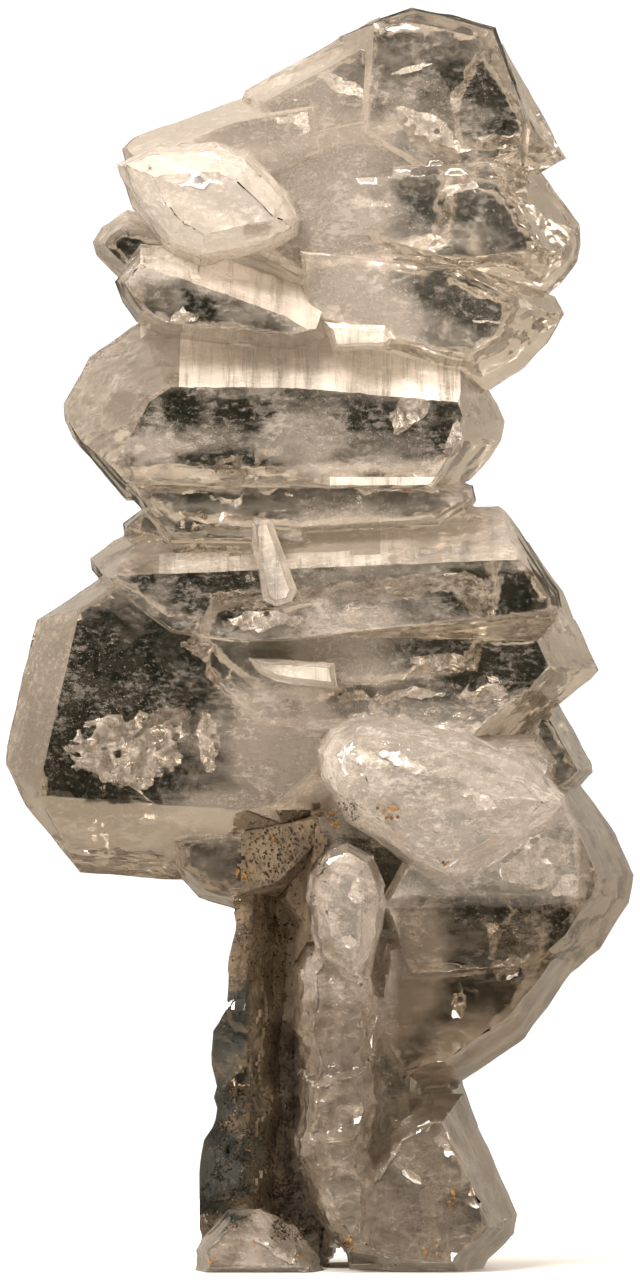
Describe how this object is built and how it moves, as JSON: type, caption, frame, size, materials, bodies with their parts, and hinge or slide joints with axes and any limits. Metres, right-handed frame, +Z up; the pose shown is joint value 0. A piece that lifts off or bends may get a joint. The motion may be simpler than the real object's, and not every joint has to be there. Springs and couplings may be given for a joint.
{
  "type": "faden quartz crystal",
  "caption": "Clear faden quartz cluster: flat, double-ended crystals stacked along a milky thread, fanned at the top, standing on a flat-cut foot.",
  "frame": {"origin": "middle of the cluster's bounding box, on the plane of its flat-cut foot", "axes": "+Z up the stack, -Y out of the show side, +X to the right as seen from the show side"},
  "size_m": [0.0506, 0.0278, 0.101],
  "materials": {
    "clear_quartz": "polished",
    "stained_crust": "rough"
  },
  "bodies": {
    "root": {"quartz_cluster": "clear_quartz"}
  },
  "joints": []
}
